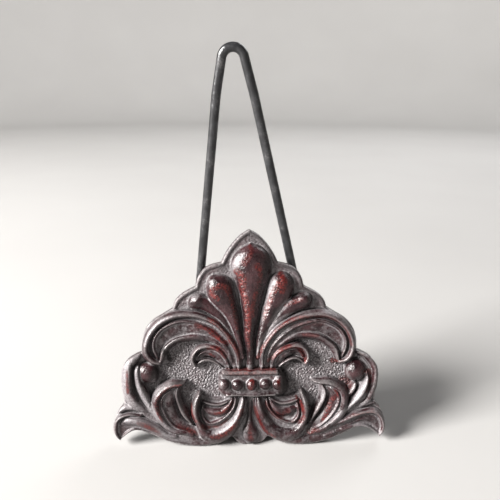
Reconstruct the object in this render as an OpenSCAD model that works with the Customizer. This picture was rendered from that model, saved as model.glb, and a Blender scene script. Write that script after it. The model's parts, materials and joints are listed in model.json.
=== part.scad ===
// Free-standing doorstop: an ornamental cast face that leans back, a wedge foot behind it
// that goes under the door, and a tall wire handle that swings in the foot's sides.
// X is across the face, Y is from front to back and Z is up. The floor is Z = 0, and the
// origin is on the floor, in the middle of the whole doorstop.

/* [Face] */
// Width of the face, across its two horns
face_w = 152.8; // [142:0.2:160]
// Length of the face from its lowest lobes to its tip, along its slope
face_h = 121; // [116:0.5:124]
// Thickness of the face's plate at its rim
face_t = 4.5; // [4:0.1:5.5]
// Lean of the face back from upright, in degrees
face_lean = 15; // [13:0.5:17]
// Depth of the hollow in the back of the face
hollow_d = 1.8; // [1:0.1:2.2]
// Height of the three front petals and the beads above the plate
petal_h = 5.4; // [4:0.1:6.5]
// Height of the scrolls and the horns above the plate
scroll_h = 4.2; // [3:0.1:5]
// Height of the thin ribs inside the scrolls above the plate
rib_h = 2.4; // [1.5:0.1:3]

/* [Foot] */
// Half of the foot's width where the handle's ends go in
foot_half_w = 32; // [31:0.1:32.2]
// Half of the foot's width at its rear end
nose_half_w = 24; // [18:0.5:26]
// Distance of the foot's rear end behind the face's bottom line
foot_rear_y = 88; // [80:1:95]
// Height of the wedge's top where it meets the upstand
wedge_high = 27; // [24:0.5:29]
// Height of the wedge's top at its rear end
wedge_low = 7; // [6:0.5:9]
// Thickness of the upstand that is screwed to the face
upstand_t = 6; // [5:0.5:7]
// Height of the foot's underside above the floor
foot_lift = 1.5; // [1:0.1:2]

/* [Handle] */
// Diameter of the handle's wire
wire_d = 4.8; // [4:0.1:5]
// Distance of the handle's pivot behind the face's bottom line
pivot_y = 40; // [39:0.5:42]
// Height of the handle's pivot above the floor
pivot_z = 12; // [11:0.5:13]
// Gap between the wire and the back of the face at rest
rest_gap = 0.3; // [0.3:0.1:1]
// Radial clearance of the wire's ends in the foot
pivot_fit = 0.06; // [0.03:0.01:0.1]

/* [Fasteners] */
// Diameter of the screws that hold the face
screw_d = 4; // [3:0.5:4]
// Distance between the two screws
screw_gap = 26; // [24:1:30]
// Distance of the screws up the face's slope
screw_s = 36; // [35:0.5:38]

/* [Hidden] */

// The foremost relief stands this far in front of the face's bottom line
front_reach = 3.25;
// The origin is this far behind the face's bottom line
origin_y = (foot_rear_y - front_reach) / 2;
// The ornament below is drawn 152.8 wide and 121 long, and is stretched by these
stretch_u = face_w / 152.8;
stretch_s = face_h / 121;

collar_h = 3;
collar_half_w = 18;
collar_low = 28;
collar_high = 44.5;
bead_d = 6.8;
bead_pitch = 7.4;
bead_s = 35.4;
web_t = face_t - hollow_d;
upstand_half_w = 22;
upstand_top_s = 47;
washer_t = 1;
washer_d = 7.2;
head_h = 2.6;
head_d = 7.6;
slot_w = 1;
screw_into_face = 4.3;
pad_t = 2;
pin_depth = 9;

wire_r = wire_d / 2;
// The wire is a little fatter in its bends, and its straight runs reach into them
bend_swell = 0.03;
run_into_bend = 0.4;
// The wire rests on the back of the shoulders, this far up the face's slope
shoulder_s = 101 * stretch_s;
shoulder_y = shoulder_s * sin(face_lean) + face_t * cos(face_lean);
shoulder_z = shoulder_s * cos(face_lean) - face_t * sin(face_lean);
shoulder_far = norm([pivot_y - shoulder_y, shoulder_z - pivot_z]);
// Lean of the handle forward from upright at rest, in degrees
handle_lean = atan2(pivot_y - shoulder_y, shoulder_z - pivot_z)
              - asin((wire_r + rest_gap) / shoulder_far);

// Corners of the handle's wire in its own plane, as [across, up from the pivot, bend radius]
handle_corners = [
    [-24.5, 0, 0], [-38.3, 0, 5], [-29.3, 60, 80], [-17.2, 177, 60],
    [-10.2, 219.7, 5.65],
    [1.6, 177, 60], [29.6, 60, 80], [38.3, 0, 5], [24.5, 0, 0]];

// Right half of the face's outline as [across, up the slope], one list for each lobe.
// The lobes meet in notches.
face_lobes = [
    [[0, 0.4], [3, 0.4], [5.8, 0.8], [7.8, 2.2], [9.6, 4.1], [10.8, 4.8]],
    [[10.8, 4.8], [13.6, 2.7], [20, 0.9], [28, 0.3], [36, 0.8], [44, 2.6], [52, 6.1],
     [60, 9.1], [65.5, 9.1], [69.5, 6.7], [72.6, 3.8]],
    [[72.6, 3.8], [75.4, 7], [76.4, 11.5], [75.2, 16.4], [72.8, 21.3], [70, 24.8]],
    [[70, 24.8], [70.6, 31], [71.5, 38], [70.6, 44.6], [67.4, 49.6], [63.3, 52.2], [59.8, 53.6]],
    [[59.8, 53.6], [59.7, 59.6], [57.8, 66], [53.7, 71], [48.5, 74.2], [42.9, 77.6]],
    [[42.9, 77.6], [41.4, 81.8], [37.3, 85.8], [30.3, 89.6]],
    [[30.3, 89.6], [28.9, 94.4], [25.8, 99], [21.5, 101.5], [15.7, 103]],
    [[15.7, 103], [13.4, 107.8], [9.6, 113.3], [5, 118], [0, 121]]];

// Right half of the hollow in the back of the face
hollow_edge = [
    [0, 8], [20, 6.5], [38, 8], [54, 14], [62, 24], [63, 36], [57, 45], [52, 53], [50, 62],
    [42, 70], [34, 78], [25, 87], [15, 94], [8, 106], [0, 111]];

// The ornament: each leaf follows its own middle line, as [across, up the slope, half width]
middle_petal = [
    [0, 114, 0.5], [0, 109.5, 5], [0, 103, 9.6], [0, 97, 10.4], [0, 88, 8], [0, 77, 5.4],
    [0, 64, 3.4], [0, 44, 2]];
right_petals = [
    [[16.2, 97.8, 0.5], [17, 94.5, 5], [16.4, 89, 7.5], [13, 81.5, 6], [9.4, 73.5, 3.9],
     [6.6, 64, 2.6], [4.6, 54, 1.9], [3.4, 44, 1.4]],
    [[35, 81.5, 0.5], [32.5, 82, 3.4], [28.5, 81.4, 4.6], [23, 78.4, 4.4], [17.4, 73.4, 3.6],
     [12, 66, 2.6], [8.2, 56.5, 1.9], [5.8, 44, 1.4]]];
scrolls = [
    // upper scroll
    [[6.5, 44, 1.4], [9.5, 55, 1.9], [15, 63.2, 2.3], [23, 70.2, 2.6], [32, 73.8, 2.7],
     [41, 74.2, 2.8], [49, 71.4, 2.8], [55, 65.6, 2.7], [57.2, 58.5, 2.5], [55.6, 51.6, 2.5],
     [51.3, 48.2, 2]],
    // small upper scroll
    [[10.5, 44, 1.2], [14.5, 52, 1.6], [19, 56.4, 1.9], [24.6, 57.2, 2], [29.4, 54.6, 2],
     [31.4, 50.4, 1.9], [30.6, 46.6, 1.2]],
    // outer lower scroll
    [[2.6, 27.6, 1.3], [4.6, 17.5, 2.2], [11, 9, 2.9], [21, 5, 3], [31, 5, 3], [40, 8.3, 2.8],
     [48, 14.6, 2.6], [53.6, 23, 2.5], [53.7, 30.6, 2.5], [49, 35, 2.3], [42.5, 36.4, 2],
     [37.4, 35.6, 1.2]],
    // inner lower scroll
    [[6.5, 27.6, 1.6], [8.2, 20, 2.6], [13.5, 12.8, 3.1], [21.5, 10.2, 3], [29.3, 12.8, 2.8],
     [33.4, 19, 2.5], [33.2, 26, 2.2], [28.8, 31.8, 1.2]],
    // outer leaf at the side
    [[60.5, 51, 1.4], [66, 49.2, 2.3], [69.2, 43.5, 2.3], [69, 36, 2.2], [67.3, 28, 1.4]],
    // inner leaf at the side
    [[60.5, 47, 1.2], [64.2, 42.5, 1.9], [63.2, 35, 2], [60, 27, 1.8], [55, 20.4, 1.2]],
    // horn
    [[72.4, 6, 0.8], [73.4, 11.5, 2.6], [69, 15.8, 3.8], [61.5, 15, 3.8], [53, 10.8, 3],
     [44, 6.4, 2], [36, 3.6, 1.2]]];
ribs = [
    // upper and lower edges of the upper scroll's hollow leaf
    [[11, 50, 0.8], [17.5, 61.3, 1.2], [27, 68.3, 1.3], [38, 70.1, 1.3], [47, 67.2, 1.3],
     [52.6, 60.4, 1.3], [50.2, 50, 0.8]],
    [[14, 51.5, 0.8], [21, 59.3, 1.2], [32, 63, 1.3], [42, 60.8, 1.3], [48.5, 54.5, 1.2],
     [50, 49.5, 0.8]],
    // inner leaf of the small upper scroll
    [[15, 48, 0.7], [20, 53, 1], [26, 53.3, 1], [28.9, 49.6, 0.8]],
    // left and right edges of the outer lower scroll's hollow leaf
    [[45, 33.2, 0.8], [49.8, 29.8, 1.2], [49.7, 22.4, 1.2], [44.5, 14.3, 1.1], [36, 8.8, 0.8]],
    [[38, 33.5, 0.8], [41, 28.8, 1.2], [39, 20.8, 1.2], [33, 13.8, 0.8]],
    // leaf inside the inner lower scroll
    [[28.4, 24.5, 0.8], [27.6, 18, 1.2], [21, 14.3, 1.2], [14, 17.6, 1.2], [9.6, 26, 0.8]],
    [[26, 24.4, 1], [20, 22.6, 2.4], [14.5, 24.6, 1.4], [11, 27.6, 0.8]]];
// Knob inside each side leaf, as [across, up the slope, diameter]
side_knob = [55.6, 41.8, 8.6];
// Drop that hangs below the collar
drop = [[0, 27.6, 1], [0, 17, 1], [0.2, 12, 1.6], [0.3, 7.5, 3], [0.2, 3.4, 2]];

// Point between b and c on a smooth curve through a, b, c and d
function between(a, b, c, d, t) =
    0.5 * (2 * b + (c - a) * t + (2 * a - 5 * b + 4 * c - d) * t * t
           + (3 * b - a - 3 * c + d) * t * t * t);
// Smooth curve through the points, with a number of steps between neighbours
function curve(p, steps) = [
    for (i = [0 : len(p) - 2], j = [0 : steps - 1])
        between(p[max(i - 1, 0)], p[i], p[i + 1], p[min(i + 2, len(p) - 1)], j / steps),
    p[len(p) - 1]];
// The points in the opposite order, with their first value negated
function mirrored(p) = [for (i = [len(p) - 1 : -1 : 0]) [-p[i][0], p[i][1]]];
// One closed outline from its right half
function both_halves(p) = concat(p, mirrored(p));
function stretched(p) = [for (q = p) [q[0] * stretch_u, q[1] * stretch_s]];
function unit2(v) = v / norm(v);
// Points along one side of a leaf, at a fraction of its half width
function leaf_side(c, fraction) = [
    for (i = [0 : len(c) - 1])
        let (a = c[max(i - 1, 0)], b = c[min(i + 1, len(c) - 1)],
             along = unit2([b[0] - a[0], b[1] - a[1]]))
        [c[i][0] - along[1] * c[i][2] * fraction, c[i][1] + along[0] * c[i][2] * fraction]];
function reversed(p) = [for (i = [len(p) - 1 : -1 : 0]) p[i]];
function leaf_outline(p, fraction) =
    let (c = curve(p, 2))
    stretched(concat(leaf_side(c, fraction), reversed(leaf_side(c, -fraction))));

// Puts what is drawn in the face's own frame, with Z out of its front, into place
module on_face() {
    translate([0, -origin_y, 0]) rotate([90 - face_lean, 0, 0]) children();
}
module both_sides() {
    children();
    mirror([1, 0, 0]) children();
}
module leaves(list, fraction, from, to) {
    translate([0, 0, from]) linear_extrude(to - from) both_sides()
        for (p = list) polygon(leaf_outline(p, fraction));
}
module face_outline() {
    polygon(stretched(both_halves([for (lobe = face_lobes) each curve(lobe, 3)])));
}
module rounded_plate(half_w, low, high, r) {
    for (x = [r - half_w, half_w - r], y = [low + r, high - r]) translate([x, y]) circle(r, $fn = 32);
    translate([-half_w, low + r]) square([2 * half_w, high - low - 2 * r]);
    translate([r - half_w, low]) square([2 * half_w - 2 * r, high - low]);
}
module at_screws() {
    for (side = [-1, 1]) translate([side * screw_gap / 2, screw_s, 0]) children();
}
// Collar that gathers the leaves, with its two bars
module collar() {
    linear_extrude(collar_h) rounded_plate(collar_half_w, collar_low, collar_high, 2);
    bar_w = 1.6;
    for (s = [collar_low + 1.4, collar_high - 1.8])
        linear_extrude(scroll_h) rounded_plate(15.4, s - bar_w / 2, s + bar_w / 2, 0.6);
}
module beads() {
    for (i = [-2 : 2]) translate([i * bead_pitch, bead_s, petal_h - bead_d / 2])
        sphere(d = bead_d, $fn = 48);
}
module ornament() {
    terrace = 0.55;
    wide = 1;
    middle = 0.78;
    crest = 0.42;
    sink = -0.5;
    both_petals = concat([middle_petal], right_petals);
    leaves(both_petals, wide, sink, petal_h * 0.4);
    leaves(both_petals, middle, petal_h * 0.4, petal_h * 0.75);
    leaves(both_petals, crest, petal_h * 0.75, petal_h);
    leaves(concat(scrolls, [drop]), wide, sink, scroll_h * terrace);
    leaves(concat(scrolls, [drop]), crest, scroll_h * terrace, scroll_h);
    leaves(ribs, wide, sink, rib_h);
    both_sides() translate([side_knob[0] * stretch_u, side_knob[1] * stretch_s, sink])
        cylinder(d1 = side_knob[2], d2 = side_knob[2] * middle, h = scroll_h - sink, $fn = 48);
    collar();
    beads();
}

module face_casting() {
    color([0.20, 0.15, 0.16]) difference() {
        on_face() difference() {
            union() {
                translate([0, 0, -face_t]) linear_extrude(face_t) face_outline();
                ornament();
            }
            translate([0, 0, -face_t - 1]) linear_extrude(hollow_d + 1)
                polygon(stretched(both_halves(curve(hollow_edge, 3))));
            at_screws() translate([0, 0, -face_t]) cylinder(d = screw_d + 0.1, h = face_t + 2, $fn = 48);
        }
        // the lowest lobes are ground flat on the floor
        translate([-face_w, -face_w, -20]) cube([2 * face_w, 2 * face_w, 20]);
    }
}

// Distance behind the face's bottom line, at a height, of the plane that is a depth behind
// the face's front
function behind_face(height, depth) = height * tan(face_lean) + depth / cos(face_lean);
// Wedge from the side, as [distance behind the face's bottom line, height]
module wedge_side() {
    round_off = 1.5;
    polygon([
        [behind_face(foot_lift, face_t), foot_lift],
        [foot_rear_y - round_off, foot_lift],
        [foot_rear_y, foot_lift + round_off],
        [foot_rear_y, wedge_low - round_off],
        [foot_rear_y - round_off, wedge_low],
        [behind_face(wedge_high, web_t + upstand_t), wedge_high],
        [behind_face(wedge_high, face_t), wedge_high]]);
}
// Wedge from above
module wedge_plan() {
    corner = 5;
    front = -5;
    hull() {
        for (x = [-1, 1]) {
            translate([x * (foot_half_w - corner), pivot_y + 10]) circle(corner, $fn = 32);
            translate([x * (nose_half_w - corner), foot_rear_y - corner]) circle(corner, $fn = 32);
            translate([x * (foot_half_w - 0.5) - 0.5, front]) square(1);
        }
    }
}
module wedge_foot() {
    pad_seat = pad_t - foot_lift;
    color([0.13, 0.12, 0.13]) difference() {
        union() {
            translate([0, -origin_y, 0]) intersection() {
                rotate([90, 0, 90]) translate([0, 0, -foot_half_w]) linear_extrude(2 * foot_half_w)
                    wedge_side();
                linear_extrude(wedge_high + 1) wedge_plan();
            }
            on_face() translate([0, 0, -web_t - upstand_t]) linear_extrude(upstand_t)
                rounded_plate(upstand_half_w, 10, upstand_top_s, 6);
        }
        on_face() at_screws() translate([0, 0, -web_t - upstand_t - 1])
            cylinder(d = screw_d + 0.5, h = upstand_t + 2, $fn = 48);
        for (side = [-1, 1])
            translate([side * foot_half_w, pivot_y - origin_y, pivot_z])
                rotate([0, -90 * side, 0]) translate([0, 0, -1])
                    cylinder(r = wire_r + pivot_fit, h = pin_depth + 1, $fn = 64);
        translate([0, 0, foot_lift - 1]) {
            linear_extrude(pad_seat + 1) front_pad_plan();
            linear_extrude(pad_seat + 1) rear_pad_plan();
        }
    }
}

// Turn of the wire at the corner b, in degrees, positive to the left
function bend_turn(a, b, c) =
    let (u = unit2([b[0] - a[0], b[1] - a[1]]), v = unit2([c[0] - b[0], c[1] - b[1]]))
    atan2(u[0] * v[1] - u[1] * v[0], u[0] * v[0] + u[1] * v[1]);
function is_bend(i) = i > 0 && i < len(handle_corners) - 1;
// Distance from a corner to where its bend begins
function bend_tangent(i) =
    let (p = handle_corners)
    is_bend(i) ? p[i][2] * tan(abs(bend_turn(p[i - 1], p[i], p[i + 1])) / 2) : 0;
// A straight run reaches a little way into the bends at its ends
function run_start(i) = is_bend(i) ? bend_tangent(i) - run_into_bend : 0;
module wire_run(i) {
    a = [handle_corners[i][0], handle_corners[i][1]];
    b = [handle_corners[i + 1][0], handle_corners[i + 1][1]];
    along = unit2(b - a);
    translate([a[0], a[1], 0]) rotate([0, 0, atan2(along[1], along[0])])
        translate([run_start(i), 0, 0]) rotate([0, 90, 0])
            cylinder(r = wire_r, h = norm(b - a) - run_start(i) - run_start(i + 1), $fn = 48);
}
module wire_bend(i) {
    p = handle_corners;
    turn = bend_turn(p[i - 1], p[i], p[i + 1]);
    in_dir = unit2([p[i][0] - p[i - 1][0], p[i][1] - p[i - 1][1]]);
    side = turn > 0 ? 1 : -1;
    start = [p[i][0], p[i][1]] - in_dir * bend_tangent(i);
    centre = start + side * p[i][2] * [-in_dir[1], in_dir[0]];
    from = atan2(start[1] - centre[1], start[0] - centre[0]) + min(turn, 0);
    translate([centre[0], centre[1], 0]) rotate([0, 0, from])
        rotate_extrude(angle = abs(turn), $fn = 96)
            translate([p[i][2], 0]) circle(wire_r + bend_swell, $fn = 48);
}
module handle() {
    color([0.16, 0.16, 0.17]) translate([0, pivot_y - origin_y, pivot_z])
        rotate([90 + handle_lean, 0, 0]) {
            for (i = [0 : len(handle_corners) - 2]) wire_run(i);
            for (i = [1 : len(handle_corners) - 2]) wire_bend(i);
        }
}

module face_screw(side) {
    under_head = -web_t - upstand_t - washer_t;
    color([0.35, 0.33, 0.31]) on_face() translate([side * screw_gap / 2, screw_s, 0]) {
        translate([0, 0, under_head]) cylinder(d = screw_d, h = -under_head - web_t + screw_into_face, $fn = 48);
        difference() {
            translate([0, 0, under_head - head_h]) cylinder(d1 = head_d * 0.7, d2 = head_d, h = head_h, $fn = 48);
            translate([-head_d / 2 - 1, -slot_w / 2, under_head - head_h - 1]) cube([head_d + 2, slot_w, 2.2]);
        }
    }
}
module left_face_screw() face_screw(-1);
module right_face_screw() face_screw(1);

module lock_washer(side) {
    color([0.45, 0.44, 0.43]) on_face()
        translate([side * screw_gap / 2, screw_s, -web_t - upstand_t - washer_t]) difference() {
            cylinder(d = washer_d, h = washer_t, $fn = 48);
            translate([0, 0, -1]) cylinder(d = screw_d + 0.3, h = washer_t + 2, $fn = 48);
            translate([0, -0.4, -1]) cube([washer_d, 0.8, washer_t + 2]);
        }
}
module left_lock_washer() lock_washer(-1);
module right_lock_washer() lock_washer(1);

module front_pad_plan() {
    translate([0, -origin_y]) rounded_plate(26, 10, 22, 3);
}
module rear_pad_plan() {
    translate([0, -origin_y]) rounded_plate(17, foot_rear_y - 18, foot_rear_y - 6, 3);
}
module front_pad() {
    color([0.05, 0.05, 0.05]) linear_extrude(pad_t) front_pad_plan();
}
module rear_pad() {
    color([0.05, 0.05, 0.05]) linear_extrude(pad_t) rear_pad_plan();
}

face_casting();
wedge_foot();
handle();
left_face_screw();
right_face_screw();
left_lock_washer();
right_lock_washer();
front_pad();
rear_pad();
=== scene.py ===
"""Looks of a cast-iron doorstop: an ornamental face that leans back on a wedge foot, and a tall
wire handle. Lengths in the ornament are millimetres in the face's own frame: across, up the
slope from the lowest lobes, and out of the plate's front."""

import json
import math

import bpy
import numpy as np
from mathutils import Matrix, Vector, noise
from mathutils.geometry import delaunay_2d_cdt


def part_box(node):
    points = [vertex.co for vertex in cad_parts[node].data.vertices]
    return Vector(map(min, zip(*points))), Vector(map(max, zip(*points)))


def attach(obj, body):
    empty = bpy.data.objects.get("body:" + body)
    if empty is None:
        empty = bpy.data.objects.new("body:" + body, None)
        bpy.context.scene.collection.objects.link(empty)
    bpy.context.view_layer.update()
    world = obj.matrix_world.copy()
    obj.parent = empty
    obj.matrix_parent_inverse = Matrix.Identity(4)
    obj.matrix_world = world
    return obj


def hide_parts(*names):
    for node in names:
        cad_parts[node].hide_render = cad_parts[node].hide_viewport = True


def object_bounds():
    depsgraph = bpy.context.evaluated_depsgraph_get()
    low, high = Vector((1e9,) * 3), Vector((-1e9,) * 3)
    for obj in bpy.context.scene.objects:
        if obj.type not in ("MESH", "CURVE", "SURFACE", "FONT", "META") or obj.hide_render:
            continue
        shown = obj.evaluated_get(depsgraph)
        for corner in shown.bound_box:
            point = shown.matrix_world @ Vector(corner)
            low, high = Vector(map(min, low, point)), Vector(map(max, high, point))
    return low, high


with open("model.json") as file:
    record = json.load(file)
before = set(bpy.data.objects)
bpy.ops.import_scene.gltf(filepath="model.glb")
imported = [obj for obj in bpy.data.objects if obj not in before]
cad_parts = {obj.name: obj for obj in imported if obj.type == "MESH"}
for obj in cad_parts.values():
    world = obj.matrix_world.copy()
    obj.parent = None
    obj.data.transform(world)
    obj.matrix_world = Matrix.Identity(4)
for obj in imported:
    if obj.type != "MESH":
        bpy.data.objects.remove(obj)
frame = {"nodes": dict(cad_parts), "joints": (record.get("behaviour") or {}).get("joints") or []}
CAD_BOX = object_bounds()

MM = 0.001
LEAN = math.radians(15)
PLATE_T = 4.5
HOLLOW_DEPTH = 1.8
# The handle's pivot is this far behind the line where the face's front meets the floor
PIVOT_BEHIND_FACE = 40.0
PIVOT = frame["joints"][0]["pos_m"]
BOTTOM_LINE_Y = PIVOT[1] / MM - PIVOT_BEHIND_FACE
# The foremost relief stays this far in front of the bottom line
FRONT_REACH = 3.2

# Right half of the plate's outline, one list for each lobe
LOBES = [
    [(0, 0.4), (3, 0.4), (5.8, 0.8), (7.8, 2.2), (9.6, 4.1), (10.8, 4.8)],
    [(10.8, 4.8), (13.6, 2.7), (20, 0.9), (28, 0.3), (36, 0.8), (44, 2.6), (52, 6.1),
     (60, 9.1), (65.5, 9.1), (69.5, 6.7), (72.6, 3.8)],
    [(72.6, 3.8), (75.4, 7), (76.4, 11.5), (75.2, 16.4), (72.8, 21.3), (70, 24.8)],
    [(70, 24.8), (70.6, 31), (71.5, 38), (70.6, 44.6), (67.4, 49.6), (63.3, 52.2), (59.8, 53.6)],
    [(59.8, 53.6), (59.7, 59.6), (57.8, 66), (53.7, 71), (48.5, 74.2), (42.9, 77.6)],
    [(42.9, 77.6), (41.4, 81.8), (37.3, 85.8), (30.3, 89.6)],
    [(30.3, 89.6), (28.9, 94.4), (25.8, 99), (21.5, 101.5), (15.7, 103)],
    [(15.7, 103), (13.4, 107.8), (9.6, 113.3), (5, 118), (0, 121)]]
HOLLOW = [
    (0, 8), (20, 6.5), (38, 8), (54, 14), (62, 24), (63, 36), (57, 45), (52, 53), (50, 62),
    (42, 70), (34, 78), (25, 87), (15, 94), (8, 106), (0, 111)]
# Each point of a leaf: across, up, half width on the left of the way it goes, the same on the
# right, height. Where both half widths are equal, one stands for both.
# The low floors under the right half's scrolls:
SCROLL_FLOORS = [
    [(8, 46, 2.4, 1.8), (12, 55, 4, 2.7), (20, 64, 5.8, 3), (30, 68, 6, 2.8), (40, 68, 6.5, 2.3),
     (48, 64, 6.5, 1.8), (52.5, 58, 5, 1.5), (51.5, 51, 2.5, 1.2)],
    [(13, 46, 2.4, 1.5), (18, 52.5, 3.4, 2.1), (24, 54, 3.2, 1.7), (29.5, 50.5, 2.4, 0.8)],
    [(5.5, 27, 2.5, 0.9), (8.5, 20, 4, 1.2), (14, 13.5, 5.5, 1.4), (21, 12, 5.5, 1.4),
     (28, 17, 4.5, 1.2), (29.5, 23.5, 3, 1), (29, 28, 1.6, 0.8)],
    [(30, 7, 4, 1.2), (38, 10, 5, 1.8), (45, 16, 6, 2.4), (48, 23, 6, 2.6), (46.5, 30, 5, 2.4),
     (41, 34, 2.6, 1.8)],
    [(62, 49, 2.5, 1), (66, 42.5, 4.5, 1.5), (66, 35, 5, 1.5), (63.5, 28, 5, 1.4),
     (57, 21, 4.6, 1.3), (50, 14.5, 3.6, 1.2), (43, 8.5, 2, 1)],
    [(71.5, 8, 3, 1), (70.5, 13.5, 4.6, 1.4), (63, 14.5, 4.8, 1.6), (55, 11, 5, 1.6),
     (47, 7, 4.6, 1.6), (36, 3.6, 3.6, 1.4)],
    [(20, 4, 3, 1.8), (30, 3.4, 3.4, 1.8), (40, 5.6, 3.6, 1.6)]]
MIDDLE_PETAL = [
    (0.4, 113.2, 0.6, 1.8), (0.5, 110.9, 2.6, 3), (0.5, 108.4, 4.8, 4.2), (0.6, 104.6, 8.3, 5.2),
    (0.6, 100.2, 11, 5.6), (0.5, 95, 9.6, 9.4, 5.4), (0.4, 88, 6.9, 5), (0, 78, 5.1, 4.6),
    (0, 66, 3.7, 4), (0, 54, 2.5, 3.3), (0, 44, 1.7, 2.7)]
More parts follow.
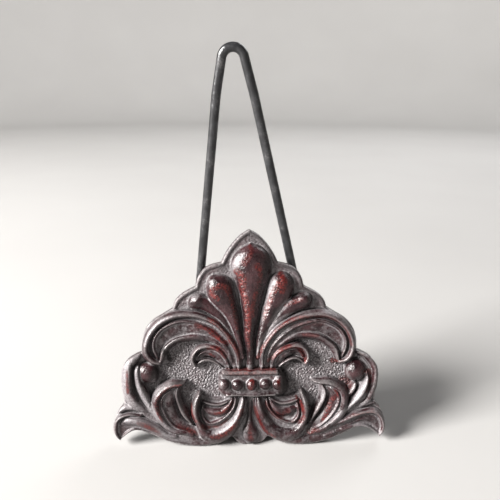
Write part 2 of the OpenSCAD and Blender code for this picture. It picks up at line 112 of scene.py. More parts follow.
# The right half's leaves, each with its kind. The left half has the same ones, turned over.
LEAVES = {
    "petal2": ("petal", [
        (17.3, 89.6, 7.4, 7.2, 5.2), (15.9, 85.2, 7.3, 7.1, 5.1), (12.7, 79.3, 5.8, 5.6, 4.7),
        (9.6, 72.5, 4.1, 4.2), (7.2, 65, 2.7, 3.7), (5.2, 57, 1.8, 3.2), (4, 50, 1.2, 2.8)]),
    "petal3": ("petal", [
        (29.8, 81.4, 4.5, 4.3, 4.4), (24.8, 79.8, 4.2, 3.9), (20.2, 76.8, 3.8, 3.5),
        (15.6, 71.8, 3, 3.1), (11.6, 66, 2.2, 2.8), (8.6, 60, 1.5, 2.4), (7, 55, 1, 2)]),
    "upper1": ("rope", [
        (6, 45, 1.6, 1.1, 2.8), (6.6, 50.5, 2.4, 1.3, 3.6), (8.4, 56, 2.7, 1.6, 4.1),
        (11, 60.6, 2.7, 1.9, 4.4), (14.5, 65, 2.6, 2.1, 4.6), (19, 69, 2.5, 2.2, 4.7),
        (24.5, 71.9, 2.5, 2.3, 4.7), (31.5, 73.8, 2.6, 2.3, 4.7), (38.5, 74, 2.7, 2.2, 4.7),
        (45.3, 72.2, 3, 2.2, 4.7), (51, 68.4, 3.1, 2.1, 4.7), (55, 63.4, 3.2, 2, 4.6),
        (56.6, 57.5, 3, 2, 4.5), (55.8, 52.3, 2.8, 2, 4.3), (53.2, 48.8, 2.4, 2, 4),
        (50, 47.6, 1.6, 1.5, 3.2)]),
    "upper2": ("rope", [
        (9.6, 48, 0.9, 2.4), (10.4, 52, 1.3, 1.2, 3), (12.6, 56.3, 1.7, 1.5, 3.4),
        (16, 60.4, 2, 1.8, 3.6), (20.5, 64.2, 2, 1.9, 3.8), (26, 67.8, 1.7, 1.9, 3.8),
        (32, 70.2, 1.3, 1.7, 3.8), (38.5, 70.7, 1.2, 1.7, 3.8), (44.5, 68.8, 1.2, 1.7, 3.7),
        (49.6, 65.3, 1.2, 1.7, 3.6), (52.5, 60.6, 1.2, 1.6, 3.4), (52.6, 55.2, 1.2, 1.4, 3.2),
        (50.6, 50, 0.9, 2.6)]),
    "upper3": ("rope", [
        (9.4, 46.5, 0.7, 0.9, 1.6), (11, 51, 0.9, 1.2, 2.2), (13.8, 55, 1, 1.5, 2.7),
        (17.8, 58.7, 1.1, 2, 3.1), (22.6, 61.5, 1.2, 2.6, 3.3), (28, 62.9, 1.3, 3, 3.4),
        (34, 62.9, 1.4, 3.2, 3.5), (40, 61.2, 1.4, 3.2, 3.5), (44.6, 58, 1.4, 3, 3.5),
        (47.6, 54, 1.2, 2.6, 3.4), (48.8, 50, 1, 1.8, 3.1), (49.4, 48, 0.8, 1, 2.6)]),
    "small1": ("rope", [
        (11.6, 45, 1.4, 0.9, 2.2), (12.7, 49, 2, 1.2, 2.9), (14.8, 52.4, 2.2, 1.4, 3.3),
        (17.8, 55, 2.2, 1.6, 3.6), (21.4, 56.6, 2, 1.6, 3.7), (25.2, 56.8, 1.7, 1.6, 3.7),
        (28.7, 55.4, 1.5, 1.6, 3.6), (31.2, 52.4, 1.4, 1.6, 3.5), (31.9, 49, 1.3, 1.6, 3.3),
        (30.6, 46.3, 1.2, 1.3, 2.8)]),
    "small2": ("rope", [
        (14.6, 46.5, 0.7, 0.8, 1.6), (16.7, 50, 0.9, 2), (19.8, 52.6, 1, 2.3),
        (23.5, 53.8, 1, 1.1, 2.4), (27, 52.8, 1, 1.1, 2.4), (29, 50.2, 0.8, 2)]),
    "small3": ("rope", [
        (15.9, 44.8, 0.7, 1.6), (18.4, 47.2, 0.9, 2), (22, 49, 1, 0.9, 2.2),
        (25.8, 48.9, 1, 0.9, 2.2), (28.8, 47.2, 0.8, 1.8)]),
    "big": ("rope", [
        (4.2, 27.8, 1.7, 1.6, 3.4), (5.2, 23.5, 2.4, 2.6, 4.1), (6.4, 19, 3, 3.4, 4.5),
        (8.3, 14.6, 3.6, 4, 4.9), (11.2, 11, 3.8, 4.8, 5.1), (15, 8.8, 3.8, 5.6, 5.2),
        (19.5, 7.4, 3.8, 6, 5.1), (23.6, 8, 3.2, 5, 4.9), (26.4, 10.4, 2.8, 3.6, 4.8),
        (28.5, 13.8, 2.6, 2.8, 4.8), (30, 17.4, 2.6, 4.8), (30.4, 21.6, 2.7, 2.6, 4.8),
        (29.8, 26, 2.4, 2.2, 4.6), (28, 30.6, 1.3, 3.6)]),
    "big2": ("rope", [
        (8.7, 27.5, 0.8, 2.2), (9.8, 22.8, 1, 2.8), (12.4, 18.9, 1.2, 1.1, 3),
        (16, 15.8, 1.3, 1.2, 3.1), (20, 13.9, 1.3, 3.1), (22.8, 13.8, 1.3, 3.1),
        (25, 15.6, 1.2, 3), (26.4, 18.2, 1.1, 1.2, 2.9), (26.6, 21, 1, 1.1, 2.7),
        (25.8, 23.8, 0.8, 2)]),
    "big3": ("dome", [
        (10.4, 27.4, 0.8, 1.6), (12.4, 23.8, 1.5, 1.6, 2.6), (15.6, 20.3, 2.4, 3.2),
        (19.6, 19.3, 2.6, 2.2, 3), (23.4, 20.4, 2, 1.8, 2.2), (26, 22, 1, 1.6)]),
    "big4": ("rope", [
        (10.6, 27.8, 0.6, 1.4), (13.8, 25.5, 0.8, 2.2), (17.5, 24, 0.9, 2.4), (22, 24.2, 0.9, 2.2),
        (26, 25.6, 0.8, 1.8)]),
    "rim": ("rope", [
        (2, 27, 0.8, 1.6), (2.2, 22, 0.9, 1.7), (3.4, 17, 0.9, 1.8), (5.3, 12.6, 0.9, 1.8),
        (7.8, 8.6, 0.9, 1.7), (10.6, 5.6, 0.8, 1.4)]),
    "outer1": ("rope", [
        (33, 7.2, 1.6, 2.4, 2.8), (40.5, 9.4, 2, 2.8, 3.5), (45.2, 12.6, 2.2, 3, 4),
        (49.3, 17.2, 2.2, 3.2, 4.3), (51.8, 22, 2.2, 3.4, 4.4), (52.2, 26.8, 2.2, 3.4, 4.5),
        (50.6, 30.8, 2.2, 3.4, 4.5), (47.4, 33.4, 2.1, 3.2, 4.4), (43, 35.2, 1.8, 2.8, 4.2),
        (38.6, 35.6, 1.3, 2.2, 3.8), (35.6, 36.6, 0.9, 1.2, 3)]),
    "outer2": ("rope", [
        (34, 9, 0.8, 2.4), (39.6, 11.4, 1.1, 1, 3), (43.6, 14.8, 1.2, 1.1, 3.3),
        (47, 19.2, 1.3, 1.1, 3.5), (49.2, 23.4, 1.3, 1.1, 3.6), (49.5, 27.2, 1.3, 1.1, 3.6),
        (47.6, 30.6, 1.2, 1.1, 3.4), (44, 32.6, 0.9, 3)]),
    "outer3": ("rope", [
        (33, 13.6, 1.4, 0.8, 2.2), (36.2, 18.4, 2.6, 1.1, 2.8), (38.8, 23, 3, 1.3, 3.1),
        (40.4, 27.4, 3, 1.3, 3.3), (40.7, 31.2, 2.6, 1.2, 3.2), (39.6, 34.2, 1.2, 0.8, 2.8)])}
# The side leaves and horns were cut less alike than the rest. Across is from the middle line.
LEFT_SIDE = {
    "side1": ("dome", [
        (60.5, 51.2, 1.6, 1.2, 2.8), (63.2, 49.2, 3.6, 2.4, 4.4), (65.6, 46.2, 5, 1.6, 4.9),
        (66.4, 41.5, 4.9, 1.4, 4.8), (66.2, 36, 4.9, 1.5, 4.6), (64.8, 31, 4.9, 1.6, 4.2),
        (62.8, 27, 4.5, 1.7, 3.6), (60, 23.4, 2.8, 1.6, 2.6), (57, 20.4, 1, 1.6)]),
    "side2": ("dome", [
        (60.8, 45.6, 2, 1.2, 3.2), (61.6, 43, 3.1, 1.9, 4.2), (61.4, 39, 3.2, 2.1, 4.2),
        (60.2, 34.5, 3.1, 2, 4.1), (58, 29.4, 2.9, 1.9, 3.9), (55.4, 24.4, 2.5, 1.8, 3.6),
        (52.4, 19.6, 1.7, 1.5, 3.2), (48, 15, 1.2, 2.6), (43, 10.8, 0.9, 2)]),
    "ledge": ("dome", [
        (72, 21.4, 1.4, 1.7), (68.5, 23.2, 1.6, 1.8, 2.1), (64, 22.8, 1.4, 1.6, 2),
        (59.5, 21, 1, 1.7)]),
    "horn_rim": ("rope", [
        (71.4, 5.4, 0.8, 2.2), (73.6, 8.6, 1.3, 1.2, 3), (74.5, 12.5, 1.4, 1.2, 3.4),
        (73.4, 16.4, 1.3, 1.2, 3.5), (70.4, 18.8, 1.2, 3.4), (66, 19.6, 1, 3),
        (60, 18.6, 0.9, 2.6)]),
    "horn": ("dome", [
        (71, 14.5, 1.6, 1.4, 2), (67.5, 16.4, 3.4, 2.2, 3.4), (63, 16.2, 3.6, 2.4, 4.1),
        (58, 14.4, 3.6, 2.6, 4.2), (53, 11.8, 3.2, 2.4, 4), (48, 9.2, 2.6, 2, 3.6),
        (42, 6.6, 1.8, 1.4, 3)]),
    "horn_lip": ("rope", [
        (71, 6, 0.8, 1.8), (68, 9.4, 1, 2.3), (64, 11, 1, 2.3), (58.5, 10, 0.8, 2.1)])}
RIGHT_SIDE = {
    "side1": ("dome", [
        (60, 52.4, 1.4, 1.2, 2.6), (64, 50.8, 2.4, 2, 3.8), (67.4, 47.2, 3, 2.4, 4.5),
        (69, 42, 2.3, 1.8, 4.4), (69, 36, 2.2, 1.8, 4.2), (67.8, 30.5, 2.4, 2, 3.6),
        (65.5, 26, 2.4, 2, 2.8), (62, 23, 1.6, 2)]),
    "side2": ("rope", [
        (64.4, 42, 0.9, 3.2), (65.3, 38, 1.2, 1.8, 3.9), (64.6, 34, 1.5, 3, 4.1),
        (62.4, 29.8, 1.7, 3.4, 4.1), (59.2, 26, 1.5, 2.6, 3.8), (55.6, 22.4, 1.3, 1.9, 3.4),
        (51, 18.2, 1.1, 1.4, 2.9), (46, 14, 0.9, 2.2)]),
    "tip": ("rope", [
        (58.8, 35.2, 0.6, 0.8, 1.8), (58.4, 33, 0.9, 2, 2.7), (56.8, 30, 1, 2.4, 2.7),
        (54.6, 27.4, 0.9, 1.4, 2.4), (52.6, 25.4, 0.6, 1.6)]),
    "ledge": ("dome", [
        (70, 23.6, 1, 1.4), (66, 23.4, 1.4, 1.6, 1.8), (61, 21.8, 1, 1.2, 1.6)]),
    "horn_rim": ("rope", [
        (72, 5, 0.9, 2.2), (74.2, 9, 1.4, 1.3, 3.2), (74, 13.5, 1.5, 1.6, 3.7),
        (71.4, 17.2, 1.5, 1.9, 4), (67, 19, 1.5, 2.2, 4.1), (61, 18.4, 1.5, 2.6, 4.1),
        (55, 15.8, 1.5, 2.6, 3.9), (49.5, 12.8, 1.3, 2, 3.5), (44, 9.8, 1, 1.4, 2.8)]),
    "horn_lip": ("rope", [
        (71.2, 6.4, 0.8, 0.9, 2), (66.5, 9.6, 1, 1.1, 2.6), (61, 10.8, 1.1, 1.4, 2.8),
        (55, 9.8, 1.1, 1.4, 2.8), (48, 7.4, 1, 1.2, 2.6), (41, 5.2, 0.9, 1, 2.2)]),
    "horn_vein": ("rope", [
        (69, 13, 0.8, 1.9), (64, 14.2, 1, 2.4), (58, 12.8, 1, 2.4), (51, 10, 0.8, 2.2)])}
DROP = [
    (0, 27.6, 0.8, 0.2), (-0.2, 20, 0.9, 0.6), (-0.1, 15, 1.3, 1.4, 1.3),
    (0.2, 10.6, 2.2, 2.6, 2.1), (0.6, 7.2, 3.9, 4.4, 2.6), (0.8, 4.8, 3.2, 3.8, 2.4),
    (0.8, 3, 1.2, 1.4, 1.6)]
# Knobs: across, up, half width, half height, height above the plate
KNOBS = [
    (-56.4, 42, 5.7, 6, 4.4), (58.8, 42.4, 6, 6.5, 4.8), (-29.2, 82, 5, 4, 4.6),
    (29.8, 81.8, 5.2, 4.5, 4.6)]
# Right half of the stippled ground that lies lower than the plate, inside the scrolls
PAN = [
    (14, 30), (14, 46), (11, 50), (14, 56), (22, 61), (31, 63), (39, 61), (45, 57), (48, 51),
    (52, 47.5), (58, 48), (61, 44), (60, 36), (57, 29), (52, 20), (44, 12), (34, 8), (29, 9),
    (31, 16), (32.5, 22), (31.5, 28), (29, 30), (22, 27.6), (15, 27.6)]
PAN_DEPTH = 1.5
# Right half of the sunken ground around the drop
SUNK = [
    (0, 28), (2, 25), (2.3, 20), (3.6, 16), (5.6, 12.2), (8, 8.4), (10.8, 4.6), (10.8, -3)]
# Places where red oxide shows, each as the leaves are given, with its strength last
RED = [
    [(-7, 98, 2.5, 1), (-4.5, 94, 2.6, 1), (-4, 88, 1.9, 1), (-2, 80, 2, 0.9), (-1.2, 70, 1.9, 1),
     (-0.8, 62, 1.3, 0.7), (-0.4, 54, 0.8, 0.3)],
    [(4, 101, 2, 0.7), (5.5, 96, 1.6, 0.5), (3.5, 88, 1.6, 0.4), (2, 83, 1.4, 0.7),
     (1, 74, 1.6, 0.6)],
    [(0, 112, 1.4, 0.5), (1, 109, 1.6, 0.4), (-2.5, 103, 2.4, 0.5)],
    [(-17.5, 83, 1.6, 0.9), (-21, 87.5, 2, 1), (-17, 90.5, 2, 1), (-13, 89, 2, 0.9),
     (-10.5, 83, 1.6, 0.6), (-8.5, 74, 1.3, 0.5), (-7.2, 67, 1.1, 0.4)],
    [(17, 96, 2, 0.9), (18, 91, 3, 1), (17.5, 87, 2, 0.9)],
    [(15, 91, 2, 0.9), (11.5, 84, 1.8, 0.8), (8.5, 77, 1.6, 0.7), (7.2, 71, 1, 0.4)],
    [(19, 78.5, 1, 0.5), (23, 80.5, 1.2, 0.7), (28, 82.5, 1.2, 0.5)],
    [(-23, 71.5, 1.4, 0.9), (-19, 69.5, 1.6, 1), (-13, 64.5, 1.1, 0.6), (-10, 60, 1.7, 1),
     (-7, 55, 1.4, 0.9), (-5.6, 49, 0.8, 0.4)],
    [(-29, 68, 1.9, 0.6), (-24, 66.5, 1.2, 0.7), (-21, 64.5, 1.9, 1), (-16, 60.5, 1.6, 0.9),
     (-12, 58, 1.3, 0.7)],
    [(-23, 56, 1.5, 0.9), (-20, 56, 1.8, 1), (-16, 54.5, 1.7, 1), (-13, 51, 1.4, 0.8)],
    [(-22, 52.5, 1.1, 0.6), (-20, 51.5, 1, 0.5)],
    [(3.6, 49, 1.2, 0.9), (6.5, 55, 1.1, 0.8), (12, 62.5, 1, 0.7), (18.5, 69, 1.1, 0.8),
     (24, 71.8, 1.5, 1), (30, 73, 1.2, 0.7), (44, 72, 1.2, 0.4), (53, 66, 1.2, 0.4),
     (56, 57, 1.1, 0.4)],
    [(22, 67.5, 1.3, 0.4), (30, 69.5, 1.4, 0.3), (40, 69, 1.4, 0.3)],
    [(29, 62.6, 1.1, 0.5), (37, 62.4, 1.1, 0.5)],
    [(9.5, 48.5, 1, 0.6), (15, 53, 1.4, 0.8), (20, 56.2, 1.7, 1), (25, 56, 1.4, 0.9),
     (28.5, 52, 1.4, 0.8), (31, 47.5, 1.4, 0.9)],
    [(46.5, 47, 1.8, 0.8), (50, 47.4, 1.4, 0.6)],
    [(-67.3, 44, 1, 0.5), (-67.3, 38, 1, 0.6), (-66.6, 32, 1, 0.6)],
    [(-37.6, 35.2, 1.1, 0.9), (-43, 34.8, 1.1, 0.9), (-47.6, 32.8, 1, 0.7), (-51, 29.6, 1, 0.6),
     (-51.8, 25.5, 1, 0.7), (-50.8, 20, 1, 0.7), (-48, 15.5, 0.9, 0.5)],
    [(-61, 15, 1.6, 0.4), (-56, 12.5, 2.2, 0.65), (-50, 9, 1.6, 0.4)],
    [(-40, 12.5, 1.6, 0.5), (-35, 10, 1.6, 0.7), (-30, 7.5, 1.4, 0.5)],
    [(-32.3, 24, 1, 0.7), (-32, 19, 1.3, 0.9), (-29, 14.5, 1.3, 0.9), (-24, 11.6, 1.1, 0.6),
     (-18, 11.8, 1, 0.6), (-13, 15.5, 1, 0.5)],
    [(-21, 7, 1.5, 0.7), (-14, 8, 2, 1), (-9.5, 12, 1.6, 0.9), (-7, 16, 1, 0.5),
     (-5, 21.5, 1.4, 0.8)],
    [(-19, 19, 1.3, 0.7), (-16, 19.2, 1.8, 1), (-12.5, 23, 1.3, 0.8), (-10.5, 26, 0.9, 0.6)],
    [(2.6, 22, 1.1, 0.7), (4.2, 16.5, 1.3, 0.8), (8, 10, 1.3, 0.6), (13, 6, 1.3, 0.5)],
    [(9, 25, 1.4, 0.7), (11.5, 20, 2.4, 0.5), (16, 17.5, 2.6, 0.5), (20.5, 19.5, 2.2, 0.4)],
    [(25.5, 27, 1, 0.7), (28, 23.5, 1.6, 1), (29.5, 18.5, 1.1, 0.7), (27, 14.5, 1.2, 0.6),
     (23.5, 13.5, 1.2, 0.6)],
    [(40, 13.5, 1, 0.6), (42.5, 18, 1.6, 1), (45, 25, 1.7, 1), (48.2, 29, 1.5, 0.9),
     (46, 32, 1, 0.4)],
    [(32, 8, 1.8, 0.8), (38, 9, 1.4, 0.4)],
    [(51, 37, 2, 0.5), (55, 35.5, 2.6, 0.6), (54, 31, 1.6, 0.5)],
    [(62.5, 41.5, 1.1, 0.5), (66, 42, 1.2, 0.6), (66.8, 37, 1.2, 0.8), (64.5, 30, 1.2, 0.6)],
    [(57, 17.8, 1, 0.4), (63, 18.3, 1.1, 0.7), (68, 19.4, 1.2, 0.6)],
    [(-13, 43, 1.6, 0.4), (-4, 43, 1.7, 0.7), (4, 43, 1.6, 0.5), (13, 43, 1.7, 0.7)],
    [(0.7, 37.5, 2, 0.9), (0.4, 34.5, 2, 0.8)],
    [(15.5, 38, 1.2, 0.6), (16, 34, 1.3, 0.5)],
    [(0.3, 12, 1, 0.4), (0.2, 5, 2, 0.5)]]
# The collar's beads: across, up, half width
BEADS = [
    (-14.6, 35.8, 3.3), (-7.1, 35.6, 3.5), (0.8, 35.8, 3.3), (8.2, 35.7, 3.3), (15, 35.4, 3)]
# Places where pale dust and wax lie thick, and painted highlight on flanks that face the light,
# given in the same way
PALE = [
    [(-60, 52, 2, 0.8), (-66, 48.5, 3.8, 1), (-69.2, 42, 3.4, 1), (-69, 35, 3, 1),
     (-67.4, 29, 3.2, 1), (-61, 22.6, 3, 0.8)],
    [(-62, 45, 2.4, 0.9), (-63.2, 39, 2.6, 1), (-60.5, 31.5, 2.6, 1), (-55.4, 23.5, 2.6, 1),
     (-49, 16, 2.2, 0.8), (-42, 10.4, 1.6, 0.6)],
    [(-74, 19, 2, 0.8), (-68, 23.4, 2.6, 1), (-60, 21.4, 2, 0.8)],
    [(-67, 16.6, 3, 0.8), (-59, 14.6, 3, 0.7), (-50, 9.6, 3, 0.8), (-42, 5.6, 2.6, 0.7),
     (-34, 3.6, 2, 0.5)],
    [(-44, 38, 1.6, 0.5), (-51, 34.4, 1.8, 0.7), (-55.4, 29.6, 2, 1), (-55.4, 24, 2, 1),
     (-52, 17.6, 1.8, 0.9), (-46, 11.6, 1.4, 0.6)],
    [(-5, 27, 1.4, 0.8), (-7.6, 19, 1.6, 1), (-12.6, 12.4, 1.8, 1), (-20, 8.8, 1.8, 0.8)],
    [(-4, 16, 1.4, 0.8), (-5, 9, 2.6, 1), (-5.2, 4.6, 3, 1)],
    [(4, 12, 1.2, 0.7), (6, 7, 1.8, 0.9), (7, 4, 2, 0.9)],
    [(-9.4, 96, 2, 0.7), (-8, 101.6, 2.6, 0.8), (-4.4, 106.4, 2, 0.6)],
    [(12, 94.6, 2, 0.7), (10, 89, 2.4, 0.9), (8.4, 83, 2, 0.9), (6.6, 76, 1.5, 0.8),
     (5, 69, 1.2, 0.6)],
    [(21, 80.6, 2, 0.8), (15.6, 75.4, 1.8, 0.8), (10.4, 68, 1.4, 0.7)],
    [(-23, 94, 1.8, 0.5), (-31, 84.4, 2.4, 0.7)],
    [(3.4, 49, 1.3, 0.7), (6.6, 58.4, 1.6, 0.9), (12.4, 67, 1.7, 1), (19.6, 72.8, 1.6, 0.9),
     (28.6, 76, 1.3, 0.6)],
    [(10.6, 57.4, 1.1, 0.7), (15.6, 63, 1.3, 0.8), (22, 67.6, 1.3, 0.8), (30, 70.6, 1.1, 0.6)],
    [(-38, 72.6, 1.8, 0.4), (-47, 71.4, 2, 0.7), (-53.6, 66, 2, 0.8), (-56.6, 59, 1.8, 0.7)],
    [(38, 12, 1.8, 0.6), (40.6, 18, 2, 0.9), (40.4, 26, 2, 0.9), (38.4, 33, 1.6, 0.7)],
    [(64.6, 38, 1.6, 0.7), (61, 30, 2.6, 1), (56, 23.6, 2, 0.9), (49, 16.6, 1.4, 0.7)],
    [(68, 25, 2, 0.8), (61, 22.4, 2, 0.9), (54, 18.6, 1.6, 0.8), (46, 12.6, 1.2, 0.6)],
    [(72, 7, 1.8, 0.8), (66, 11, 1.8, 0.7), (58, 11, 1.4, 0.6)],
    [(-14, 45.6, 1, 0.6), (0, 45.2, 1.2, 0.7), (14, 45.2, 1.2, 0.5)]]
# Painted shadows: places painted black where shade and cast shadows fall, given in the same way
PAINTED_SHADOWS = [
    [(16, 44, 1.4, 0.7), (18.8, 41.4, 2.2, 1), (19.6, 36, 2.8, 1), (18.6, 30.6, 2.2, 1),
     (15, 28, 1.2, 0.7)],
    [(-14.8, 39.6, 0.7, 0.5), (-11, 37, 0.7, 0.8), (-11, 33.6, 0.7, 0.8)],
    *([(u, 37.4, 0.7, 0.8), (u, 33.6, 0.7, 0.8)] for u in (-3.2, 4.6, 11.8)),
    [(-47.6, 57, 1, 0.6), (-45.8, 53, 1.7, 1), (-44.6, 48.6, 1.6, 0.9)],
    [(-52.4, 46, 1, 0.6), (-51.2, 42.4, 1.4, 0.9), (-52, 38.6, 1, 0.7)],
    [(-64, 47, 0.7, 0.7), (-65, 41, 0.8, 1), (-64, 34, 0.8, 1), (-61.4, 27, 0.7, 0.8)],
    [(-43, 36.4, 0.9, 0.5), (-38.6, 36.4, 1.4, 0.8), (-35.6, 37, 1, 0.8)],
    [(-37.4, 22, 2, 1, 0.5), (-39.6, 27, 2.4, 1.2, 0.7), (-39.6, 32, 1.8, 1, 0.6)],
    [(21, 48, 0.8, 0.6), (25, 46.6, 1.1, 0.9), (29.4, 45.4, 0.9, 0.7)],
    [(46, 46.6, 0.8, 0.6), (50.4, 45.4, 0.9, 0.7)]]


def curve(points, steps):
    """A smooth curve through the points, every value of a point carried along."""
    p = np.array(points, float)
    before = np.vstack([p[:1], p[:-2]])[:, None]
    start, end = p[:-1, None], p[1:, None]
    after = np.vstack([p[2:], p[-1:]])[:, None]
    t = (np.arange(steps) / steps)[None, :, None]
    on_curve = 0.5 * (2 * start + (end - before) * t
                      + (2 * before - 5 * start + 4 * end - after) * t ** 2
                      + (3 * start - before - 3 * end + after) * t ** 3)
    return np.vstack([on_curve.reshape(-1, p.shape[1]), p[-1]])


def both_halves(right):
    """A closed outline from its right half, which starts and ends on the middle line."""
    left = right[::-1] * [-1, 1]
    return np.vstack([right, left[1:-1]])


def soft_max(a, b, blend):
    """The higher of two surfaces, with a fillet where they cross."""
    near = np.clip(blend - np.abs(a - b), 0, None) / blend
    return np.maximum(a, b) + near ** 2 * blend / 4


def smooth_step(x, low, high):
    t = np.clip((x - low) / (high - low), 0, 1)
    return t * t * (3 - 2 * t)


def grain(shape, step, fine, coarse, seed):
    """A random surface with bumps between two sizes, of unit deviation."""
    rough = np.fft.rfft2(np.random.default_rng(seed).standard_normal(shape))
    frequency = np.hypot(np.fft.fftfreq(shape[0], step)[:, None],
                         np.fft.rfftfreq(shape[1], step)[None, :])
    band = np.exp(-(frequency * fine) ** 2) * (1 - np.exp(-(frequency * coarse) ** 2))
    made = np.fft.irfft2(rough * band, s=shape)
    return (made - made.mean()) / made.std()


def blurred(surface, step, size):
    """The surface, smoothed over a size."""
    rim = 40
    wide = np.pad(surface, rim, mode="edge")
    frequency = np.hypot(np.fft.fftfreq(wide.shape[0], step)[:, None],
                         np.fft.rfftfreq(wide.shape[1], step)[None, :])
    low = np.fft.rfft2(wide) * np.exp(-2 * (math.pi * size * frequency) ** 2)
    return np.fft.irfft2(low, s=wide.shape)[rim:-rim, rim:-rim]


def nearest_on(outline, u, s):
    """The nearest point on a closed outline for each point, and whether the point is inside."""
    a = np.asarray(outline, float)
    b = np.roll(a, -1, axis=0)
    best = np.full(u.shape, 1e18)
    best_u, best_s = np.zeros(u.shape), np.zeros(u.shape)
    inside = np.zeros(u.shape, bool)
    for (u0, s0), (u1, s1) in zip(a, b):
        du, ds = u1 - u0, s1 - s0
        t = np.clip(((u - u0) * du + (s - s0) * ds) / max(du * du + ds * ds, 1e-12), 0, 1)
        on_u, on_s = u0 + t * du, s0 + t * ds
        far = (u - on_u) ** 2 + (s - on_s) ** 2
        closer = far < best
        best = np.where(closer, far, best)
        best_u = np.where(closer, on_u, best_u)
        best_s = np.where(closer, on_s, best_s)
        if ds:
            spans = (s > min(s0, s1)) & (s <= max(s0, s1))
            inside ^= spans & (u < u0 + (s - s0) * du / ds)
    return best_u, best_s, inside


def depth_inside(outline, u, s):
    """Distance from the outline, negative outside it."""
    on_u, on_s, inside = nearest_on(outline, u, s)
    return np.where(inside, 1, -1) * np.hypot(u - on_u, s - on_s)


# The power of the curve of a section across a leaf, for each kind of leaf and for the marked
# places: red oxide, pale dust with painted highlight, and painted shadow
FULLNESS = {"petal": 0.45, "dome": 0.6, "rope": 0.85}
MARK_FULLNESS = 0.7
OUTLINE = both_halves(np.vstack([curve(lobe, 8)[:-1] for lobe in LOBES] + [LOBES[-1][-1]]))
HOLLOW_OUTLINE = both_halves(curve(HOLLOW, 6))


def to_left(points):
    """A leaf of the right half, turned over to the left half."""
    return [(-p[0], p[1], p[-2], p[2], p[-1]) for p in points]


